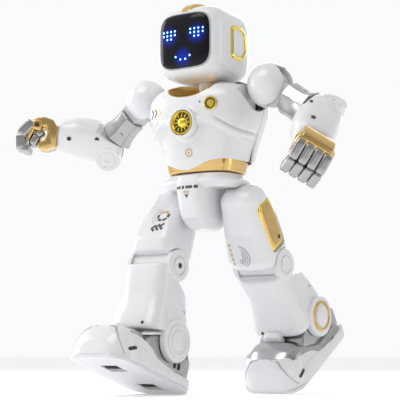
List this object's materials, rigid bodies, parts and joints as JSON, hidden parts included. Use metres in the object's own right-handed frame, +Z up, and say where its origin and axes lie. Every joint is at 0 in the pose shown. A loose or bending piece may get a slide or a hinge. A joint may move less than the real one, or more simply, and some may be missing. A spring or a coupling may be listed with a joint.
{
  "type": "walking humanoid robot",
  "caption": "Humanoid robot toy in a walking stride, with a dark glossy visor, jointed arms and legs, plated trim and wheeled soles.",
  "frame": {"origin": "centre of the bottom of the bounding box, on the floor", "axes": "-Y is the robot's front, +X its left, +Z up; the pelvis is square to the axes"},
  "size_m": [0.383, 0.2842, 0.3875],
  "materials": {
    "white_shell": "gloss",
    "gold_plated": "polished",
    "silver_plated": "satin",
    "black_visor": "gloss",
    "wheel_rubber": "matte",
    "steel": "satin",
    "screw_steel": "satin",
    "battery_case": "matte",
    "dark_plastic": "satin",
    "sole_grey": "satin"
  },
  "bodies": {
    "pelvis": {"pelvis_shell": "white_shell", "hip_axle": "steel"},
    "torso": {"chest_shell": "white_shell", "abdomen_shell": "white_shell", "back_shell": "white_shell", "battery_cover": "white_shell", "waist_belt": "gold_plated", "collar_trim": "gold_plated", "battery_pack": "battery_case", "main_board": "dark_plastic", "speaker": "dark_plastic", "shoulder_drives": "dark_plastic", "torso_screws": "screw_steel", "chest_lamp": "gold_plated"},
    "chest_button": {"chest_button": "gold_plated"},
    "power_switch": {"power_switch": "dark_plastic"},
    "head": {"head_front_shell": "white_shell", "head_rear_shell": "white_shell", "visor_lens": "black_visor", "led_board": "dark_plastic", "head_crest": "gold_plated", "ear_trims": "gold_plated", "neck_shaft": "dark_plastic"},
    "shoulder_left": {"shoulder_housing_left": "white_shell"},
    "arm_lug_left": {"arm_lug_left": "dark_plastic"},
    "upper_arm_left": {"upper_arm_sleeve_left": "silver_plated"},
    "forearm_left": {"forearm_shell_left": "white_shell", "elbow_pin_left": "white_shell"},
    "hand_left": {"hand_palm_left": "gold_plated", "hand_fingers_left": "silver_plated"},
    "thigh_left": {"thigh_shell_left": "white_shell", "thigh_trim_left": "gold_plated"},
    "shank_left": {"shank_shell_left": "white_shell", "knee_pin_left": "white_shell", "ankle_pin_left": "white_shell"},
    "foot_left": {"foot_shell_left": "white_shell", "foot_insert_left": "silver_plated", "sole_plate_left": "sole_grey", "foot_motor_left": "steel"},
    "front_wheel_left": {"front_wheel_left": "wheel_rubber"},
    "rear_wheel_left": {"rear_wheel_left": "wheel_rubber"},
    "shoulder_right": {"shoulder_housing_right": "white_shell"},
    "arm_lug_right": {"arm_lug_right": "dark_plastic"},
    "upper_arm_right": {"upper_arm_sleeve_right": "silver_plated"},
    "forearm_right": {"forearm_shell_right": "white_shell", "elbow_pin_right": "white_shell"},
    "hand_right": {"hand_palm_right": "gold_plated", "hand_fingers_right": "silver_plated"},
    "thigh_right": {"thigh_shell_right": "white_shell", "thigh_trim_right": "gold_plated"},
    "shank_right": {"shank_shell_right": "white_shell", "knee_pin_right": "white_shell", "ankle_pin_right": "white_shell"},
    "foot_right": {"foot_shell_right": "white_shell", "foot_insert_right": "silver_plated", "sole_plate_right": "sole_grey", "foot_motor_right": "steel"},
    "front_wheel_right": {"front_wheel_right": "wheel_rubber"},
    "rear_wheel_right": {"rear_wheel_right": "wheel_rubber"}
  },
  "joints": [
    {"name": "waist_turn", "type": "hinge", "parent": "pelvis", "child": "torso", "pos_m": [0.01849, -0.0111, 0.21554], "axis": [0, 0, 1], "range_deg": [-33, 27]},
    {"name": "neck_turn", "type": "hinge", "parent": "torso", "child": "head", "pos_m": [0.01849, -0.0111, 0.30705], "axis": [0, 0, 1], "range_deg": [-60, 60]},
    {"name": "button_press", "type": "slide", "parent": "torso", "child": "chest_button", "axis": [-0.0523, 0.9986, 0], "range_m": [0, 0.0015], "stiffness_N_per_m": 400},
    {"name": "power_slide", "type": "slide", "parent": "torso", "child": "power_switch", "axis": [0.9986, 0.0523, 0], "range_m": [-0.002, 0.002]},
    {"name": "swing_left", "type": "hinge", "parent": "torso", "child": "shoulder_left", "pos_m": [0.09139, -0.00728, 0.29955], "axis": [-0.9986, -0.0523, 0], "range_deg": [-45, 100]},
    {"name": "raise_left", "type": "hinge", "parent": "shoulder_left", "child": "arm_lug_left", "pos_m": [0.09139, -0.00728, 0.29955], "axis": [0.0523, -0.9986, 0], "range_deg": [-37, 35]},
    {"name": "twist_left", "type": "hinge", "parent": "arm_lug_left", "child": "upper_arm_left", "pos_m": [0.09139, -0.00728, 0.29955], "axis": [-0.818, -0.0429, 0.5736], "range_deg": [-19, 96]},
    {"name": "elbow_left", "type": "hinge", "parent": "upper_arm_left", "child": "forearm_left", "pos_m": [0.15041, 0.00142, 0.26058], "axis": [-0.5535, 0.3299, -0.7647], "range_deg": [-56, 14]},
    {"name": "wrist_left", "type": "hinge", "parent": "forearm_left", "child": "hand_left", "pos_m": [0.16297, -0.04628, 0.23092], "axis": [0.3278, -0.7579, -0.5641], "range_deg": [-56, 84]},
    {"name": "hip_left", "type": "hinge", "parent": "pelvis", "child": "thigh_left", "pos_m": [0.05649, -0.0071, 0.18554], "axis": [-1, 0, 0], "range_deg": [-8, 84]},
    {"name": "knee_left", "type": "hinge", "parent": "thigh_left", "child": "shank_left", "pos_m": [0.05649, 0.03204, 0.12751], "axis": [1, 0, 0], "range_deg": [-14, 38]},
    {"name": "ankle_left", "type": "hinge", "parent": "shank_left", "child": "foot_left", "pos_m": [0.05649, 0.08741, 0.07766], "axis": [-1, 0, 0], "range_deg": [-31.5, 1.5]},
    {"name": "front_roll_left", "type": "hinge", "parent": "foot_left", "child": "front_wheel_left", "pos_m": [0.05649, 0.06808, 0.0261], "axis": [1, 0, 0], "continuous": true},
    {"name": "rear_roll_left", "type": "hinge", "parent": "foot_left", "child": "rear_wheel_left", "pos_m": [0.05649, 0.117, 0.05727], "axis": [1, 0, 0], "continuous": true},
    {"name": "swing_right", "type": "hinge", "parent": "torso", "child": "shoulder_right", "pos_m": [-0.05441, -0.01492, 0.29955], "axis": [-0.9986, -0.0523, 0], "range_deg": [-45, 100]},
    {"name": "raise_right", "type": "hinge", "parent": "shoulder_right", "child": "arm_lug_right", "pos_m": [-0.05441, -0.01492, 0.29955], "axis": [-0.0523, 0.9986, 0], "range_deg": [-32, 40]},
    {"name": "twist_right", "type": "hinge", "parent": "arm_lug_right", "child": "upper_arm_right", "pos_m": [-0.05441, -0.01492, 0.29955], "axis": [-0.765, -0.0401, -0.6428], "range_deg": [-90, 25]},
    {"name": "elbow_right", "type": "hinge", "parent": "upper_arm_right", "child": "forearm_right", "pos_m": [-0.10597, -0.01376, 0.25039], "axis": [-0.4527, 0.7434, 0.4924], "range_deg": [-59, 11]},
    {"name": "wrist_right", "type": "hinge", "parent": "forearm_right", "child": "hand_right", "pos_m": [-0.14745, -0.05004, 0.26701], "axis": [0.7867, 0.593, -0.1719], "range_deg": [-132, 8]},
    {"name": "hip_right", "type": "hinge", "parent": "pelvis", "child": "thigh_right", "pos_m": [-0.01951, -0.0071, 0.18554], "axis": [-1, 0, 0], "range_deg": [-72, 20]},
    {"name": "knee_right", "type": "hinge", "parent": "thigh_right", "child": "shank_right", "pos_m": [-0.01951, -0.0421, 0.12492], "axis": [1, 0, 0], "range_deg": [-21, 31]},
    {"name": "ankle_right", "type": "hinge", "parent": "shank_right", "child": "foot_right", "pos_m": [-0.01951, -0.05375, 0.05134], "axis": [-1, 0, 0], "range_deg": [-25, 8]},
    {"name": "front_roll_right", "type": "hinge", "parent": "foot_right", "child": "front_wheel_right", "pos_m": [-0.01951, -0.10583, 0.03346], "axis": [1, 0, 0], "continuous": true},
    {"name": "rear_roll_right", "type": "hinge", "parent": "foot_right", "child": "rear_wheel_right", "pos_m": [-0.01951, -0.05067, 0.01553], "axis": [1, 0, 0], "continuous": true}
  ]
}
